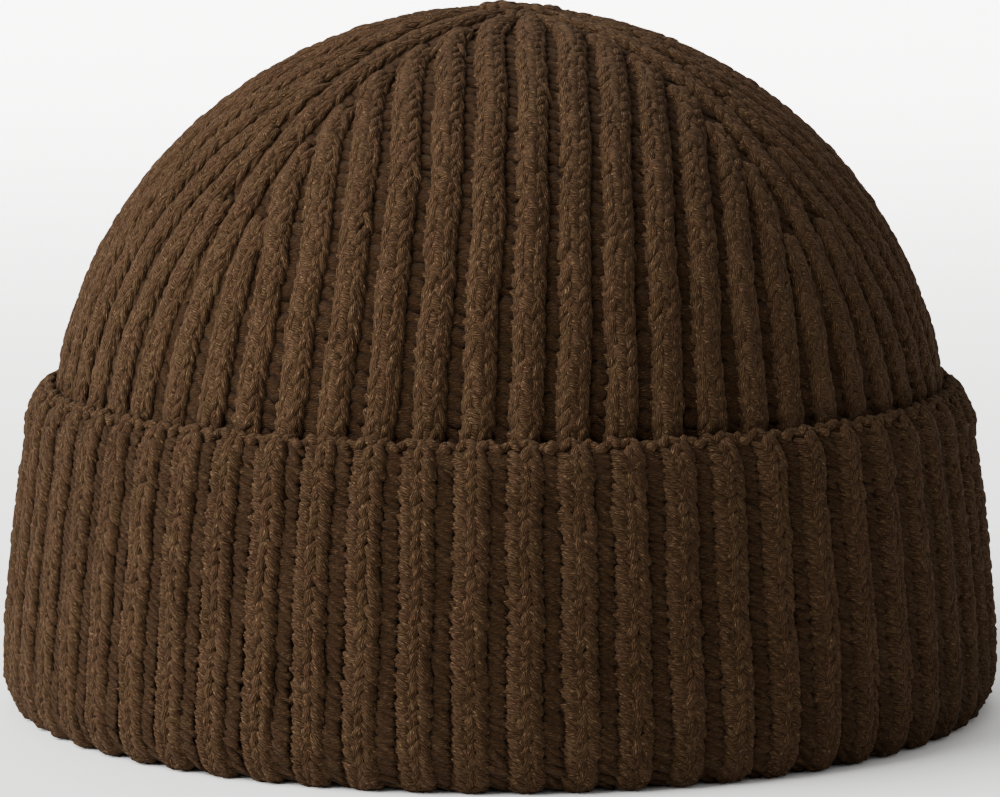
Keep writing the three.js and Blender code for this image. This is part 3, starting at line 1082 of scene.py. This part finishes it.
def crown_rib_height(points):
    """Height of the crown's outer ribs over its valleys, and the rib place."""
    angle, radius = around(points)
    safe = np.maximum(radius, 0.1 * MM)
    spacing = np.maximum(radius, DART_RADIUS) * RIB_ANGLE
    height = np.zeros(len(points))
    place = np.zeros(len(points))
    for panel in PANELS.values():
        middle = panel["middle_rib"] * RIB_ANGLE
        local = (angle - middle + math.pi) % (2 * math.pi) - math.pi
        inside = np.abs(local) <= seam_angle(panel) + TINY
        local_place = rib_place(local, safe)
        to_seam = radius * np.sin(seam_angle(panel) - np.abs(local))
        on_panel = np.where(to_seam > SEAM_RIB_ROOM, rib_profile(local_place), 0)
        beside_seam = np.minimum(to_seam / spacing, 0.5)
        on_seam = np.where(to_seam < spacing, rib_profile(beside_seam), 0)
        height = np.where(inside, np.maximum(on_panel, on_seam), height)
        place = np.where(inside, local_place + panel["middle_rib"], place)
    return height, place


def crown_ground_outline():
    """The ground wall inside and outside as radii and heights, up to the axis."""
    band_z = np.linspace(BAND_FOOT_Z, DOME_BASE_Z, BACKING_BAND_STEPS)
    outside = [(band_radius(z) - BACKING_IN_VALLEY, z) for z in band_z]
    inside = []
    for z in band_z:
        foot = max((BAND_FULL_Z - z) / (BAND_FULL_Z - BAND_FOOT_Z), 0)
        inside.append((band_radius(z) - WALL + foot * BAND_FOOT_RECESS, z))
    for angle in np.linspace(0, math.pi / 2, BACKING_CLIMB_STEPS)[1:]:
        radius = DOME_RADIUS * math.cos(angle)
        z = DOME_BASE_Z + DOME_RISE * math.sin(angle)
        outward = dome_outward(np.array([[0, -radius, z]]))[0]
        sideways, upward = -outward[1], outward[2]
        for outline, depth in ((outside, BACKING_IN_VALLEY), (inside, WALL)):
            outline.append((max(radius - depth * sideways, 0), z - depth * upward))
    outside[-1] = (0, outside[-1][1])
    inside[-1] = (0, inside[-1][1])
    return inside[::-1] + outside


def ribbed_crown(points):
    """The ground's points once ribbed on both sides, and their rib and row."""
    height, place = crown_rib_height(points)
    out = dome_outward(points)
    out[points[:, 2] < DOME_BASE_Z, 2] = 0
    out = unit(out)
    scale = np.array([DOME_RADIUS, DOME_RADIUS, DOME_RISE])
    depth = (1 - np.linalg.norm((points - [0, 0, DOME_BASE_Z]) / scale, axis=1)) * DOME_RADIUS
    radius = around(points)[1]
    band_depth = band_radius(points[:, 2]) - radius
    depth = np.where(points[:, 2] < DOME_BASE_Z, band_depth, depth)
    is_outside = depth < (BACKING_IN_VALLEY + WALL) / 2
    rise = (BACKING_IN_VALLEY - BACKING_UNDER_RIB) * height
    moved = points + out * (np.where(is_outside, rise, INSIDE_RELIEF * height))[:, None]
    rows = np.arccos(np.clip(radius / DOME_RADIUS, 0, 1)) * DOME_RADIUS + points[:, 2] / 3
    return moved, np.stack([place, rows / settings_now().crown_course], axis=1)


class KNITHAT_OT_crown_ground(bpy.types.Operator):
    """Make the crown's ground wall, with ribs outside and the reverse ribs inside"""

    bl_idname = "knit_hat.crown_ground"
    bl_label = "Crown Ground"

    def execute(self, context):
        wall = spun_wall(crown_ground_outline(), False)
        bmesh.ops.holes_fill(wall, edges=wall.edges)
        moved, maps = ribbed_crown(wall_points(wall))
        piece = ground_piece("crown_ground", wall, leaned(moved), maps)
        seat(piece, "crown")
        return {"FINISHED"}


class KNITHAT_OT_cuff_ground(bpy.types.Operator):
    """Make the cuff's ground wall under its stitches, round the fold"""

    bl_idname = "knit_hat.cuff_ground"
    bl_label = "Cuff Ground"

    def execute(self, context):
        outline = cuff_outline()[::CUFF_GROUND_STRIDE]
        slopes = unit(np.gradient(outline, axis=0))
        outward = np.stack([-slopes[:, 1], slopes[:, 0]], axis=1)
        outer = outline - outward * BACKING_IN_VALLEY
        inner = outline - outward * (WALL - CUFF_GROUND_THINNER)
        wall = spun_wall(np.concatenate([outer, inner[::-1]]), True)
        points = wall_points(wall)
        angle, radius = around(points)
        height = rib_profile(angle / RIB_ANGLE)
        line = np.stack([radius, points[:, 2]], axis=1)
        gaps = np.linalg.norm(line[:, None, :] - outer[None], axis=2)
        nearest = gaps.argmin(axis=1)
        is_outside = gaps.min(axis=1) < OUTER_FACE_ROOM
        rise = np.where(is_outside, (BACKING_IN_VALLEY - BACKING_UNDER_RIB) * height, 0)
        push = outward[nearest] * rise[:, None]
        radial = points[:, :2] / radius[:, None]
        moved = points.copy()
        moved[:, :2] += radial * push[:, :1]
        moved[:, 2] += push[:, 1]
        maps = np.stack([angle / RIB_ANGLE, nearest / CUFF_POINTS_PER_ROW], axis=1)
        piece = ground_piece("cuff_ground", wall, moved, maps)
        seat(piece, "cuff")
        return {"FINISHED"}


class KNITHAT_OT_studio(bpy.types.Operator):
    """Set up the pale floor, the soft lights and the camera"""

    bl_idname = "knit_hat.studio"
    bl_label = "Studio"

    def execute(self, context):
        settings = settings_now()
        floor = bmesh.new()
        bmesh.ops.create_circle(
            floor, cap_ends=True, segments=FLOOR_SIDES, radius=FLOOR_RADIUS,
        )
        mesh = bpy.data.meshes.new("floor")
        floor.to_mesh(mesh)
        floor.free()
        mesh.materials.append(material_of(studio_paint))
        piece = bpy.data.objects.new("floor", mesh)
        context.collection.objects.link(piece)
        for light in LIGHTS:
            add_light(**light)
        world = bpy.data.worlds.new("studio_air")
        world.use_nodes = True
        air = world.node_tree.nodes["Background"]
        air.inputs["Color"].default_value = (1, 1, 1, 1)
        air.inputs["Strength"].default_value = WORLD_LIGHT
        context.scene.world = world
        add_camera(settings)
        return {"FINISHED"}


def add_light(name, place, size, power, aim, spread):
    data = bpy.data.lights.new(name, "AREA")
    data.size = size
    data.energy = power
    data.spread = math.radians(spread)
    light = bpy.data.objects.new(name, data)
    light.location = place
    toward = Vector(aim) - light.location
    light.rotation_euler = toward.to_track_quat("-Z", "Y").to_euler()
    bpy.context.collection.objects.link(light)


def add_camera(settings):
    data = bpy.data.cameras.new("camera")
    data.sensor_fit = "HORIZONTAL"
    data.sensor_width = SENSOR
    data.lens = SENSOR * PIXELS_PER_RADIAN / IMAGE_WIDTH
    camera = bpy.data.objects.new("camera", data)
    turn = settings.camera_turn
    camera.location = (
        settings.camera_distance * math.sin(turn),
        -settings.camera_distance * math.cos(turn),
        settings.camera_height,
    )
    toward = Vector((0, 0, AIM_HEIGHT)) - camera.location
    camera.rotation_euler = toward.to_track_quat("-Z", "Y").to_euler()
    bpy.context.collection.objects.link(camera)
    bpy.context.scene.camera = camera


OPERATORS = (
    KNITHAT_OT_crown_ground,
    KNITHAT_OT_crown_stitches,
    KNITHAT_OT_top_gather,
    KNITHAT_OT_cuff_ground,
    KNITHAT_OT_cuff_stitches,
    KNITHAT_OT_cuff_edge,
    KNITHAT_OT_studio,
)


class KNITHAT_PT_panel(bpy.types.Panel):
    """Lists the hat's settings and the steps that build it"""

    bl_idname = "KNITHAT_PT_panel"
    bl_label = "Knit Hat"
    bl_space_type = "VIEW_3D"
    bl_region_type = "UI"
    bl_category = "Knit Hat"

    def draw(self, context):
        for name in KnitHatSettings.__annotations__:
            self.layout.prop(context.scene.knit_hat, name)
        for operator in OPERATORS:
            self.layout.operator(operator.bl_idname)


CLASSES = (KnitHatSettings, *OPERATORS, KNITHAT_PT_panel)


def register():
    for item in CLASSES:
        bpy.utils.register_class(item)
    bpy.types.Scene.knit_hat = bpy.props.PointerProperty(type=KnitHatSettings)


def unregister():
    del bpy.types.Scene.knit_hat
    for item in reversed(CLASSES):
        bpy.utils.unregister_class(item)


def main():
    register()
    bpy.ops.knit_hat.crown_ground()
    bpy.ops.knit_hat.crown_stitches()
    bpy.ops.knit_hat.top_gather()
    bpy.ops.knit_hat.cuff_ground()
    bpy.ops.knit_hat.cuff_stitches()
    bpy.ops.knit_hat.cuff_edge()
    bpy.ops.knit_hat.studio()


if __name__ == "__main__":
    main()
